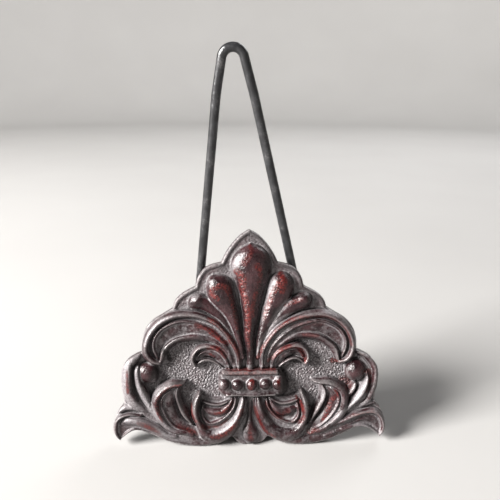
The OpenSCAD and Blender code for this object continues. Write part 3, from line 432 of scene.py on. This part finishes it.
class Relief:
    """The height of the face's ornament above its plate, on a grid."""

    OUTSIDE = -9.0
    THINNEST = 0.2

    def __init__(self, step):
        self.step = step
        reach_u, low, high = 77.9, -1.4, 122.6
        most_wander = 0.8
        self.us = np.arange(-reach_u, reach_u, step)
        self.ss = np.arange(low, high, step)
        self.grid_u, self.grid_s = np.meshgrid(self.us, self.ss)
        # the pattern was carved by hand, so its lines wander a little
        wander_u = 0.28 * grain(self.grid_u.shape, step, 16, 60, 3)
        wander_s = 0.22 * grain(self.grid_u.shape, step, 16, 60, 4)
        self.u = self.grid_u + np.clip(wander_u, -most_wander, most_wander)
        self.s = self.grid_s + np.clip(wander_s, -most_wander, most_wander)
        self.height = np.zeros(self.u.shape)
        self.bare = np.zeros(self.u.shape)

    def raise_to(self, surface, blend=0.5):
        self.height = soft_max(self.height, surface, blend)

    def leaf(self, points, fullness, blend=0.5):
        self.raise_to(self.swept(points, fullness), blend)

    def swept(self, points, fullness):
        """A leaf along its middle line. Fullness is the power of its section's curve."""
        steps, spare = 8, 1.3
        c = curve([(*p[:3], *p[-2:]) for p in points], steps)
        reach = c[:, 2:4].max() + spare
        raised = np.full(self.height.shape, self.OUTSIDE)
        for a, b in zip(c[:-1], c[1:]):
            left, right = min(a[0], b[0]) - reach, max(a[0], b[0]) + reach
            low, high = min(a[1], b[1]) - reach, max(a[1], b[1]) + reach
            i0, i1 = np.searchsorted(self.us, [left, right])
            j0, j1 = np.searchsorted(self.ss, [low, high])
            if i1 <= i0 or j1 <= j0:
                continue
            window = (slice(j0, j1), slice(i0, i1))
            run = b[:2] - a[:2]
            du, ds = self.u[window] - a[0], self.s[window] - a[1]
            t = np.clip((du * run[0] + ds * run[1]) / max(run @ run, 1e-9), 0, 1)
            off_u, off_s = du - t * run[0], ds - t * run[1]
            on_left = run[0] * off_s - run[1] * off_u > 0
            half = np.where(on_left, a[2] + t * (b[2] - a[2]), a[3] + t * (b[3] - a[3]))
            off = np.hypot(off_u, off_s) / np.maximum(half, self.THINNEST)
            section = np.clip(1 - off ** 2, 0, None) ** fullness
            top = (a[4] + t * (b[4] - a[4])) * section
            raised[window] = np.maximum(raised[window], np.where(off < 1, top, self.OUTSIDE))
        return raised

    def both_leaves(self, points, fullness):
        self.leaf(points, fullness)
        self.leaf(to_left(points), fullness)

    def knob(self, u, s, half_w, half_h, top, base=0.0, blend=0.4):
        """A round knob, or an oval bulge."""
        off = np.hypot((self.u - u) / half_w, (self.s - s) / half_h)
        ball = base + (top - base) * np.sqrt(np.clip(1 - off ** 2, 0, None))
        self.raise_to(np.where(off < 1, ball, self.OUTSIDE), blend)

    def bar(self, left, right, s, half_h, top):
        """A rounded bar across the face."""
        end = 1
        along = np.maximum(np.abs(self.u - (left + right) / 2) - ((right - left) / 2 - end), 0)
        off = np.hypot(along, self.s - s) / half_h
        section = np.clip(1 - off ** 4, 0, None) ** 0.6
        self.raise_to(np.where(off < 1, top * section, self.OUTSIDE), 0.35)

    def sunken_drop(self):
        """The low ground between the two bottom lobes, and the drop that hangs in it."""
        depth = 0.9
        inside = depth_inside(both_halves(np.array(SUNK, float)), self.u, self.s)
        share = smooth_step(inside, -0.2, 0.7)
        self.height = self.height * (1 - share) - depth * share
        self.leaf(DROP, 0.6, 0.4)

    def collar(self):
        """The collar that gathers the leaves, with its two bars and its beads."""
        middle_u, middle_s, half_w, half_h = 1, 36.2, 19, 7.8
        corner, rounding, top = 5, 2.6, 4.2
        # the leaves sink as they go under it
        leaf_top, sinking = 9, 5.6
        off_u = np.maximum(np.abs(self.u - middle_u) - (half_w - corner), 0)
        off_s = np.maximum(np.abs(self.s - middle_s) - (half_h - corner), 0)
        inside = corner - np.hypot(off_u, off_s)
        section = np.sqrt(1 - (1 - np.clip(inside / rounding, 0, 1)) ** 2)
        covered = smooth_step(inside, -0.4, 1.4)
        self.height = np.minimum(self.height, leaf_top - sinking * covered)
        self.raise_to(np.where(inside > 0, top * section, self.OUTSIDE))
        flat = self.height
        # its right end bulges beside the last bead
        self.knob(16.4, 35.8, 4.2, 6.6, 6.2, base=1)
        self.bar(-15.8, 15.4, 42.2, 1.65, 5.9)
        self.bar(-14, 14.4, 29.9, 1, 5)
        for u, s, half in BEADS:
            self.knob(u, s, half, half, 7.2, base=3.4, blend=0.3)
        self.bare = np.maximum(self.bare, self.height - flat)

    def sink_pans(self):
        """The sunken grounds inside the scrolls."""
        self.pan = np.zeros(self.u.shape)
        for side in (-1, 1):
            inside = depth_inside(np.array(PAN) * [side, 1], self.u, self.s)
            self.pan = np.maximum(self.pan, smooth_step(inside, -0.6, 1.0))
        self.height -= PAN_DEPTH * self.pan

    def carve(self):
        """Everything that was carved in the pattern, from the ground up."""
        self.sink_pans()
        for points in SCROLL_FLOORS:
            self.both_leaves(points, 0.6)
        for kind, points in LEAVES.values():
            self.both_leaves(points, FULLNESS[kind])
        for name in ("petal2", "petal3"):
            for points in (LEAVES[name][1], to_left(LEAVES[name][1])):
                self.bare = np.maximum(self.bare, self.swept(points, 1))
        self.bare = np.maximum(self.bare, self.swept(MIDDLE_PETAL, 1))
        for kind, points in LEFT_SIDE.values():
            self.leaf(to_left(points), FULLNESS[kind])
        for kind, points in RIGHT_SIDE.values():
            self.leaf(points, FULLNESS[kind])
        self.leaf(MIDDLE_PETAL, FULLNESS["petal"])
        # a knob is rubbed bare like a petal, though not as far down
        knob_share = 0.8
        for knob in KNOBS:
            before = self.height
            self.knob(*knob)
            self.bare = np.maximum(self.bare, knob_share * (self.height - before))
        # the relief is fuller above the lowest scrolls
        self.height *= 1 + 0.2 * smooth_step(self.s, 8, 26)
        self.sunken_drop()
        self.collar()

    def cast(self):
        """Adds what casting and wear do, and keeps maps of it for the material, with maps of
        painted shadow and painted highlight.
        """
        shape, step = self.u.shape, self.step
        carved = self.height
        self.inside = depth_inside(OUTLINE, self.grid_u, self.grid_s)
        self.ground = np.clip(1 - (carved + PAN_DEPTH * self.pan) / 0.7, 0, 1)
        # the plate's edge is rolled where no leaf reaches it
        rolled = smooth_step(self.inside, 0.2, 1.2) * (1 - smooth_step(self.inside, 1.8, 3.2))
        rolled *= self.ground * smooth_step(self.grid_s, 70, 78)
        carved = carved + 0.7 * rolled
        round_r = 1.3
        into = round_r - np.clip(self.inside, 0, round_r)
        rounded = np.sqrt(np.clip(round_r ** 2 - into ** 2, 0, None)) - round_r
        stipple = self.ground * (0.05 + 0.26 * self.pan) * grain(shape, step, 0.9, 1.7, 5)
        skin = 0.05 * grain(shape, step, 0.8, 3, 6)
        dents = 0.06 * smooth_step(self.bare, 0.5, 3) * grain(shape, step, 3, 9, 8)
        self.height = carved + rounded + stipple + skin + dents
        most = (FRONT_REACH + self.grid_s * math.sin(LEAN)) / math.cos(LEAN)
        self.height = np.minimum(self.height, most)
        self.crest = carved - blurred(carved, step, 1.3)
        self.hollow = blurred(carved, step, 2.6) - carved
        self.crease = blurred(carved, step, 1.0) - carved
        self.bare = smooth_step(self.bare, 0.3, 2)
        # maps of red oxide, of pale dust with painted highlight, and of painted shadow
        self.red, self.pale, self.painted_shadow = (self.mapped(places) for places in (RED, PALE, PAINTED_SHADOWS))
        # painted shade: the rolled edge is darkened too, more towards the right, which faces away
        # from the light
        right_share = smooth_step(self.grid_u, -12, 8)
        self.painted_shadow = np.maximum(self.painted_shadow, (0.35 + 0.35 * right_share) * rolled)

    def mapped(self, places):
        """A map of the places, from 0 to 1."""
        marks = np.zeros(self.u.shape)
        for points in places:
            marks = np.maximum(marks, self.swept(points, MARK_FULLNESS))
        return marks


def on_face(u, s, n):
    """Points of the face's own frame in the object's frame, in metres."""
    reach = CAD_BOX[1][0] / MM
    x = np.clip(np.asarray(u, float), -reach, reach)
    y = BOTTOM_LINE_Y + s * math.sin(LEAN) - n * math.cos(LEAN)
    z = np.maximum(s * math.cos(LEAN) + n * math.sin(LEAN), 0)
    return np.stack([x, y, z], -1) * MM


def new_object(name, points, faces):
    mesh = bpy.data.meshes.new(name)
    mesh.from_pydata(points.tolist(), [], faces)
    mesh.validate()
    made = bpy.data.objects.new(name, mesh)
    bpy.context.scene.collection.objects.link(made)
    mesh.shade_smooth()
    return made


def give_attribute(made, name, values):
    attribute = made.data.attributes.new(name, "FLOAT", "POINT")
    attribute.data.foreach_set("value", np.asarray(values, np.float32))


def boundary_loops(faces):
    """The open edges of a sheet, as lists of its vertices in order, the sheet on their left."""
    edges = set()
    for f in faces:
        for a, b in zip(f, f[1:] + f[:1]):
            edges.add((a, b))
    after = {a: b for a, b in edges if (b, a) not in edges}
    loops = []
    while after:
        start, here = after.popitem()
        loop = [start]
        while here != start:
            loop.append(here)
            here = after.pop(here)
        loops.append(loop)
    return loops


def trimmed_grid(relief, inset):
    """Grid cells inside the plate's outline, with the vertices near its edge moved onto it."""
    step, depth = relief.step, relief.inside - inset
    u, s = relief.grid_u.copy(), relief.grid_s.copy()
    snap = np.abs(depth) < 0.5 * step
    on_u, on_s, inside = nearest_on(OUTLINE, u[snap], s[snap])
    away_u, away_s = u[snap] - on_u, s[snap] - on_s
    length = np.maximum(np.hypot(away_u, away_s), 1e-6) * np.where(inside, 1, -1)
    u[snap], s[snap] = on_u + inset * away_u / length, on_s + inset * away_s / length
    kept = snap | (depth > 0)
    index = np.arange(u.size).reshape(u.shape)
    faces = []
    rows, columns = u.shape
    for j in range(rows - 1):
        for i in range(columns - 1):
            corners = [(j, i), (j, i + 1), (j + 1, i + 1), (j + 1, i)]
            held = [index[c] for c in corners if kept[c]]
            if len(held) < 3 or all(snap[c] for c in corners if kept[c]):
                continue
            faces.append([int(k) for k in held])
    return u, s, faces


def filled_back(ring_u, ring_s):
    """Triangles that fill the ring, with points added inside it. The ring keeps its numbers."""
    spacing, clear = 1.0, 0.9
    us = np.arange(-76, 76.5, spacing)
    ss = np.arange(0.5, 121, spacing)
    grid_u, grid_s = np.meshgrid(us, ss)
    jitter = np.random.default_rng(11).uniform(-0.2, 0.2, (2,) + grid_u.shape)
    grid_u, grid_s = grid_u + jitter[0], grid_s + jitter[1]
    inner = depth_inside(np.stack([ring_u, ring_s], -1), grid_u, grid_s) > clear
    flat = [Vector(p) for p in zip(ring_u, ring_s)]
    flat += [Vector(p) for p in zip(grid_u[inner], grid_s[inner])]
    count = len(ring_u)
    edges = [(k, (k + 1) % count) for k in range(count)]
    only_inside = 1
    found, _, faces, sources, _, _ = delaunay_2d_cdt(flat, edges, [], only_inside, 1e-7)
    return found, faces, sources


def build_face(relief):
    """The carved front, its drafted side walls and the hollow back, as one closed mesh."""
    inset, wall_uneven, back_uneven = 0.35, 0.05, 0.07
    u, s, faces = trimmed_grid(relief, inset)
    used = sorted({k for f in faces for k in f})
    renumber = {k: i for i, k in enumerate(used)}
    faces = [[renumber[k] for k in f] for f in faces]
    u, s, n = (a.ravel()[used] for a in (u, s, relief.height))
    loop = max(boundary_loops(faces), key=len)
    count = len(loop)
    on_u, on_s, _ = nearest_on(OUTLINE, u[loop], s[loop])
    in_u, in_s = (u[loop] - on_u) / inset, (s[loop] - on_s) / inset
    # each ring of the wall: how far inside the outline, and how far down to the back
    rings = [(0.2, 0.45), (0.05, 0.8), (0.12, 0.96), (0.6, 1.0)]
    unevenness = np.random.default_rng(7).normal(0, wall_uneven, (len(rings), count))
    all_u, all_s, all_n = [u], [s], [n]
    previous = list(loop)
    total = len(u)
    for (ring_inset, share), uneven in zip(rings, unevenness):
        on_wall = ring_inset < rings[-1][0]
        shift = ring_inset + uneven * on_wall
        all_u.append(on_u + in_u * shift)
        all_s.append(on_s + in_s * shift)
        all_n.append(n[loop] * (1 - share) - PLATE_T * share)
        here = list(range(total, total + count))
        for k in range(count):
            a, b = previous[k], previous[(k + 1) % count]
            faces.append([b, a, here[k], here[(k + 1) % count]])
        previous = here
        total += count
    found, fill, sources = filled_back(all_u[-1], all_s[-1])
    number, extra = [], []
    for k, source in enumerate(sources):
        on_ring = [i for i in source if i < count]
        if on_ring:
            number.append(previous[on_ring[0]])
        else:
            number.append(total + len(extra))
            extra.append(found[k])
    for f in fill:
        faces.append([number[k] for k in reversed(f)])
    extra_u = np.array([p[0] for p in extra])
    extra_s = np.array([p[1] for p in extra])
    into_hollow = depth_inside(HOLLOW_OUTLINE, extra_u, extra_s)
    lift = HOLLOW_DEPTH * smooth_step(into_hollow, -0.6, 1.4)
    rough = np.random.default_rng(12).normal(0, back_uneven, len(extra))
    all_u.append(extra_u)
    all_s.append(extra_s)
    all_n.append(lift - PLATE_T + rough)
    points = on_face(np.concatenate(all_u), np.concatenate(all_s), np.concatenate(all_n))
    face = new_object("face", points, faces)
    behind = len(points) - len(u)
    # each map for the material, with its value on the sides and the back
    # among them the painted shadow, and the pale places that also hold painted highlight
    maps = {"cast_ground": (relief.ground * (0.5 + 0.5 * relief.pan), 0.15),
            "cast_crest": (relief.crest, 0), "cast_hollow": (relief.hollow, 0),
            "cast_depth": (relief.inside, 3), "cast_red": (relief.red, 0),
            "cast_pale": (relief.pale, 0), "cast_painted_shadow": (relief.painted_shadow, 0),
            "cast_bare": (relief.bare, 0.7), "cast_crease": (relief.crease, 0)}
    for name, (values, elsewhere) in maps.items():
        give_attribute(face, name, np.concatenate(
            [values.ravel()[used], np.full(behind, float(elsewhere))]))
    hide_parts("face_casting")
    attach(face, "stand")
    return face


def build_foot():
    """The foot with its sand-cast skin and rounded edges, from the CAD foot's own shape."""
    node = frame["nodes"]["wedge_foot"]
    rough = bpy.data.objects.new("rough", node.data.copy())
    bpy.context.scene.collection.objects.link(rough)
    remesh = rough.modifiers.new("remesh", "REMESH")
    remesh.mode = "VOXEL"
    remesh.voxel_size = 0.55 * MM
    smooth = rough.modifiers.new("smooth", "SMOOTH")
    smooth.factor = 0.5
    smooth.iterations = 5
    bpy.context.view_layer.update()
    evaluated = rough.evaluated_get(bpy.context.evaluated_depsgraph_get())
    mesh = bpy.data.meshes.new_from_object(evaluated)
    bpy.data.objects.remove(rough)
    foot = bpy.data.objects.new("foot", mesh)
    bpy.context.scene.collection.objects.link(foot)
    mesh.shade_smooth()
    count = len(mesh.vertices)
    co = np.zeros(count * 3)
    mesh.vertices.foreach_get("co", co)
    normal = np.zeros(count * 3)
    mesh.vertex_normals.foreach_get("vector", normal)
    co, normal = co.reshape(-1, 3), normal.reshape(-1, 3)
    skin_depth, per_metre = 0.09, 420
    skin = np.array([noise.fractal(Vector(p) * per_metre, 1.0, 2.0, 3) for p in co])
    co = co + normal * (skin * skin_depth * MM)[:, None]
    low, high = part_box("wedge_foot")
    co = np.clip(co, low, high)
    mesh.vertices.foreach_set("co", co.ravel())
    mesh.update()
    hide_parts("wedge_foot")
    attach(foot, "stand")
    return foot


class Finish:
    """One material, and short ways to make and join its nodes."""

    def __init__(self, name):
        self.material = bpy.data.materials.new(name)
        self.material.use_nodes = True
        self.tree = self.material.node_tree
        self.shader = self.tree.nodes["Principled BSDF"]
        self.place = self.node("ShaderNodeTexCoord").outputs["Object"]

    def put(self, socket, value):
        if isinstance(value, bpy.types.NodeSocket):
            self.tree.links.new(value, socket)
        else:
            socket.default_value = value

    def node(self, kind, inputs=None, **settings):
        made = self.tree.nodes.new(kind)
        for name, value in settings.items():
            setattr(made, name, value)
        for name, value in (inputs or {}).items():
            self.put(made.inputs[name], value)
        return made

    def math(self, operation, a, b):
        return self.node("ShaderNodeMath", {0: a, 1: b}, operation=operation).outputs[0]

    def times(self, a, b):
        return self.math("MULTIPLY", a, b)

    def plus(self, a, b):
        return self.math("ADD", a, b)

    def step(self, value, low, high, to_low=0.0, to_high=1.0):
        """Goes smoothly from to_low to to_high as the value goes from low to high."""
        return self.node("ShaderNodeMapRange", {
            "Value": value, "From Min": low, "From Max": high, "To Min": to_low,
            "To Max": to_high}, interpolation_type="SMOOTHSTEP").outputs[0]

    def noise(self, size_mm, detail=2.0, roughness=0.5, offset=0.0):
        """Noise with features of a size in millimetres."""
        place = self.place
        if offset:
            place = self.node("ShaderNodeVectorMath", {0: place, 1: (offset, offset, offset)},
                              operation="ADD").outputs[0]
        return self.node("ShaderNodeTexNoise", {
            "Vector": place, "Scale": 1 / (size_mm * MM), "Detail": detail,
            "Roughness": roughness}).outputs[0]

    def attribute(self, name):
        return self.node("ShaderNodeAttribute", attribute_name=name).outputs["Fac"]

    def mix(self, share, a, b):
        """Colour between a and b."""
        made = self.node("ShaderNodeMix", data_type="RGBA")
        self.put(made.inputs[0], share)
        self.put(made.inputs[6], a)
        self.put(made.inputs[7], b)
        return made.outputs[2]

    def blend(self, share, a, b):
        """Number between a and b."""
        made = self.node("ShaderNodeMix", data_type="FLOAT")
        self.put(made.inputs[0], share)
        self.put(made.inputs[2], a)
        self.put(made.inputs[3], b)
        return made.outputs[0]

    def bump(self, height, depth_mm):
        return self.node("ShaderNodeBump", {
            "Height": height, "Distance": depth_mm * MM}).outputs[0]

    def finish(self, **sockets):
        """Joins values to the shader's sockets, and gives the material."""
        for name, value in sockets.items():
            self.put(self.shader.inputs[name.replace("_", " ").title()], value)
        return self.material


def face_finish():
    """Dark waxed iron, with pale dust in its hollows, red oxide on it and worn crests, and with
    painted shade in its creases, painted shadows and painted highlight on some lit flanks.
    """
    iron, warm_iron = (0.009, 0.002, 0.003, 1), (0.036, 0.014, 0.016, 1)
    dark_dust, pale_dust = (0.120, 0.106, 0.112, 1), (0.262, 0.246, 0.252, 1)
    red_glaze, red_oxide = (0.026, 0.003, 0.003, 1), (0.100, 0.007, 0.005, 1)
    black, bare_iron = (0.006, 0.003, 0.003, 1), (0.45, 0.42, 0.42, 1)
    f = Finish("face_iron")
    ground, crest = f.attribute("cast_ground"), f.attribute("cast_crest")
    hollow, depth = f.attribute("cast_hollow"), f.attribute("cast_depth")
    # the pale map holds thick dust and painted highlight; the black map holds painted shadow
    red_map, pale, painted_shadow, bare = (
        f.attribute("cast_" + name) for name in ("red", "pale", "painted_shadow", "bare"))
    patches, specks, fine = f.noise(7, 3), f.noise(1.1, 3, 0.6), f.noise(0.45, 2, 0.6, 3.0)
    blots = f.noise(3.2, 4, 0.65, 5.0)
    colour = f.mix(f.step(patches, 0.35, 0.7), iron, warm_iron)
    # dust settles in the hollows and creases and is rubbed off the crests
    speckled = f.plus(specks, -0.5)
    dust = f.times(f.step(f.plus(hollow, speckled), 0.3, 1.9), f.step(bare, 0, 1, 0.9, 0.35))
    crease = f.plus(f.attribute("cast_crease"), f.times(speckled, 0.5))
    dust = f.math("MAXIMUM", dust, f.step(crease, 0.05, 0.55, 0, 0.9))
    dust = f.math("MAXIMUM", dust, f.times(ground, f.step(specks, 0.3, 0.7, 0.45, 1)))
    wash = f.times(f.step(blots, 0.42, 0.62), f.step(bare, 0, 1, 0.42, 0))
    dust = f.math("MAXIMUM", dust, f.times(wash, f.step(crest, 0.2, 0.8, 1, 0.3)))
    # the pale places add thick dust, and painted highlight on flanks that face the light
    dust = f.math("MAXIMUM", dust, f.times(pale, f.step(blots, 0.25, 0.5, 0.45, 1)))
    powder = f.mix(f.step(f.plus(fine, specks), 0.8, 1.2), dark_dust, pale_dust)
    colour = f.mix(f.times(dust, 0.9), colour, powder)
    # painted shade: the narrowest creases are painted near black, less on the open ground and on
    # bare iron, and the painted shadows are added
    painted_shade = f.times(f.step(crease, 0.45, 0.95, 0, 0.85), f.step(ground, 0, 1, 1, 0.4))
    painted_shade = f.math("MAXIMUM", f.times(painted_shade, f.step(bare, 0, 1, 1, 0.3)), f.times(painted_shadow, 0.95))
    colour = f.mix(painted_shade, colour, black)
    glaze = f.times(f.step(red_map, 0, 0.7), f.step(blots, 0.3, 0.5, 0.55, 0.9))
    colour = f.mix(glaze, colour, red_glaze)
    red = f.times(red_map, f.step(f.plus(f.times(specks, 1.3), f.times(blots, 0.6)), 0.84, 1.12))
    colour = f.mix(red, colour, red_oxide)
    # crests and the plate's edge are worn to bare iron
    worn = f.step(f.plus(crest, f.times(f.plus(specks, -0.5), 0.9)), 0.65, 1.3)
    rim = f.times(f.step(depth, 0.3, 1.3, 1, 0), f.step(specks, 0.3, 0.6))
    worn = f.math("MAXIMUM", f.times(worn, f.step(red, 0, 1, 0.22, 0.1)), f.times(rim, 0.6))
    # no wear shows in the painted shadows
    worn = f.times(worn, f.step(painted_shadow, 0, 0.8, 1, 0.1))
    colour = f.mix(worn, colour, bare_iron)
    metal = f.blend(worn, f.blend(dust, 0.12, 0.2), 0.85)
    # red oxide and the painted shadows are kept from shining like metal, and the painted shadows
    # are made rougher so they reflect less
    metal = f.blend(f.math("MAXIMUM", red, painted_shadow), metal, 0.04)
    rough = f.blend(dust, f.step(specks, 0.2, 0.8, 0.23, 0.38), 0.48)
    rough = f.blend(f.times(painted_shadow, 0.9), f.blend(red, rough, 0.42), 0.9)
    bump = f.bump(f.plus(specks, f.times(fine, 0.6)), 0.2)
    f.shader.inputs["Specular IOR Level"].default_value = 0.55
    return f.finish(base_color=colour, metallic=metal, roughness=rough, normal=bump)


def cast_finish():
    """Dark as-cast iron with a little rust."""
    f = Finish("foot_iron")
    patches, specks = f.noise(9, 3), f.noise(1.2, 3, 0.6)
    colour = f.mix(f.step(patches, 0.35, 0.7), (0.028, 0.022, 0.025, 1), (0.065, 0.05, 0.055, 1))
    colour = f.mix(f.times(f.step(specks, 0.55, 0.75), 0.4), colour, (0.11, 0.06, 0.05, 1))
    rough = f.step(specks, 0.2, 0.8, 0.42, 0.6)
    bump = f.bump(specks, 0.15)
    return f.finish(base_color=colour, metallic=0.5, roughness=rough, normal=bump)


def wire_finish():
    """Black paint over bent wire, dented, and rubbed through in places."""
    f = Finish("handle_wire")
    patches, specks, dents = f.noise(6, 4, 0.6), f.noise(0.8, 3, 0.6), f.noise(3.5, 2, 0.5, 2.0)
    colour = f.mix(f.step(patches, 0.35, 0.7), (0.010, 0.010, 0.011, 1), (0.032, 0.032, 0.034, 1))
    rubbed = f.times(f.step(f.plus(f.times(patches, 0.6), f.times(specks, 0.5)), 0.60, 0.70), 0.3)
    colour = f.mix(rubbed, colour, (0.22, 0.21, 0.205, 1))
    rough = f.step(specks, 0.3, 0.7, 0.28, 0.4)
    bump = f.bump(f.plus(f.times(specks, 0.4), f.times(dents, 1.6)), 0.22)
    return f.finish(base_color=colour, metallic=f.blend(rubbed, 0.05, 0.9), roughness=rough,
                    normal=bump)


def steel_finish(name, dark, light):
    """Dulled steel, mottled between two colours."""
    f = Finish(name)
    patches, specks = f.noise(2.5, 3), f.noise(0.4, 3, 0.6)
    colour = f.mix(f.step(patches, 0.35, 0.7), dark, light)
    rough = f.step(specks, 0.3, 0.7, 0.3, 0.5)
    return f.finish(base_color=colour, metallic=0.95, roughness=rough, normal=f.bump(specks, 0.03))


def rubber_finish():
    """Matt black rubber."""
    f = Finish("pad_rubber")
    patches, specks = f.noise(5, 3), f.noise(0.5, 2)
    colour = f.mix(patches, (0.018, 0.018, 0.018, 1), (0.04, 0.038, 0.036, 1))
    return f.finish(base_color=colour, roughness=f.step(specks, 0.3, 0.7, 0.7, 0.9),
                    normal=f.bump(specks, 0.05))


def dress(made, material):
    """Gives every slot of an object the material."""
    if not made.material_slots:
        made.data.materials.append(material)
    for slot in made.material_slots:
        slot.material = material


def build_stage():
    """A pale round floor that curves up into a backdrop on every side."""
    inner_r, flat_r, bend_r, top, bend_steps, sides = 0.4, 1.9, 0.6, 2.5, 16, 64
    profile = [(inner_r, 0), (flat_r, 0)]
    for k in range(1, bend_steps + 1):
        turn = math.pi / 2 * k / bend_steps
        profile.append((flat_r + bend_r * math.sin(turn), bend_r * (1 - math.cos(turn))))
    profile.append((flat_r + bend_r, top))
    points, faces = [(0, 0, 0)], []
    for r, z in profile:
        for k in range(sides):
            turn = 2 * math.pi * k / sides
            points.append((r * math.cos(turn), r * math.sin(turn), z))
    for k in range(sides):
        following = (k + 1) % sides
        faces.append([0, 1 + k, 1 + following])
        for ring in range(len(profile) - 1):
            inner = 1 + ring * sides
            faces.append([inner + k, inner + sides + k, inner + sides + following,
                          inner + following])
    floor = new_object("floor", np.array(points, float), faces)
    f = Finish("floor")
    f.shader.inputs["Specular IOR Level"].default_value = 0.1
    colour = f.mix(f.noise(220, 2), (0.32, 0.313, 0.306, 1), (0.35, 0.343, 0.336, 1))
    dress(floor, f.finish(base_color=colour, roughness=0.85))


def add_light(name, place, aim, size, power, colour):
    lamp = bpy.data.lights.new(name, "AREA")
    lamp.shape = "RECTANGLE"
    lamp.size, lamp.size_y = size
    lamp.energy = power
    lamp.color = colour
    made = bpy.data.objects.new(name, lamp)
    made.location = place
    made.rotation_euler = (Vector(aim) - Vector(place)).to_track_quat("-Z", "Y").to_euler()
    made.visible_camera = False
    bpy.context.scene.collection.objects.link(made)


def build_lights():
    """A window at the left, and weak fills in front, behind and on the backdrop."""
    add_light("window", (-1.6, -0.7, 1.0), (0, 0, 0.08), (0.75, 0.85), 195, (1, 0.985, 0.965))
    add_light("front", (0.3, -1.6, 0.9), (0, 0, 0.1), (1.0, 0.8), 0.8, (0.97, 0.98, 1))
    add_light("behind", (0.9, 1.1, 1.2), (0, 0, 0.05), (0.8, 0.8), 14, (0.97, 0.98, 1))
    add_light("backdrop", (0.4, 0.9, 1.5), (0.3, 2.3, 0.5), (1.6, 0.6), 20, (1, 1, 1))
    world = bpy.data.worlds.new("room")
    world.use_nodes = True
    room = world.node_tree.nodes["Background"]
    room.inputs["Color"].default_value = (0.78, 0.8, 0.82, 1)
    room.inputs["Strength"].default_value = 0.01
    bpy.context.scene.world = world
    bpy.context.scene.view_settings.view_transform = "Standard"


def build_camera():
    """Close in front, above the object and a little to its left."""
    pitch, yaw, roll = (math.radians(a) for a in (18, 2.2, 0.32))
    distance, height, aside = 262, 200, -0.9
    lens = bpy.data.cameras.new("camera")
    lens.lens, lens.sensor_width = 40, 36
    lens.clip_start = 0.01
    camera = bpy.data.objects.new("camera", lens)
    place = Vector((aside - distance * math.sin(yaw),
                    BOTTOM_LINE_Y - distance * math.cos(yaw), height)) * MM
    turn = (Matrix.Rotation(-yaw, 4, "Z") @ Matrix.Rotation(math.pi / 2 - pitch, 4, "X")
            @ Matrix.Rotation(roll, 4, "Z"))
    camera.matrix_world = Matrix.Translation(place) @ turn
    bpy.context.scene.collection.objects.link(camera)
    bpy.context.scene.camera = camera


def main():
    grid_step = 0.4
    build_camera()
    relief = Relief(grid_step)
    relief.carve()
    relief.cast()
    dress(build_face(relief), face_finish())
    dress(build_foot(), cast_finish())
    nodes = frame["nodes"]
    dress(nodes["handle"], wire_finish())
    screw = steel_finish("screw_steel", (0.10, 0.09, 0.085, 1), (0.22, 0.20, 0.19, 1))
    washer = steel_finish("washer_steel", (0.2, 0.19, 0.18, 1), (0.36, 0.35, 0.33, 1))
    rubber = rubber_finish()
    for side in ("left", "right"):
        dress(nodes[side + "_face_screw"], screw)
        dress(nodes[side + "_lock_washer"], washer)
    for end in ("front", "rear"):
        dress(nodes[end + "_pad"], rubber)
    build_stage()
    build_lights()


main()
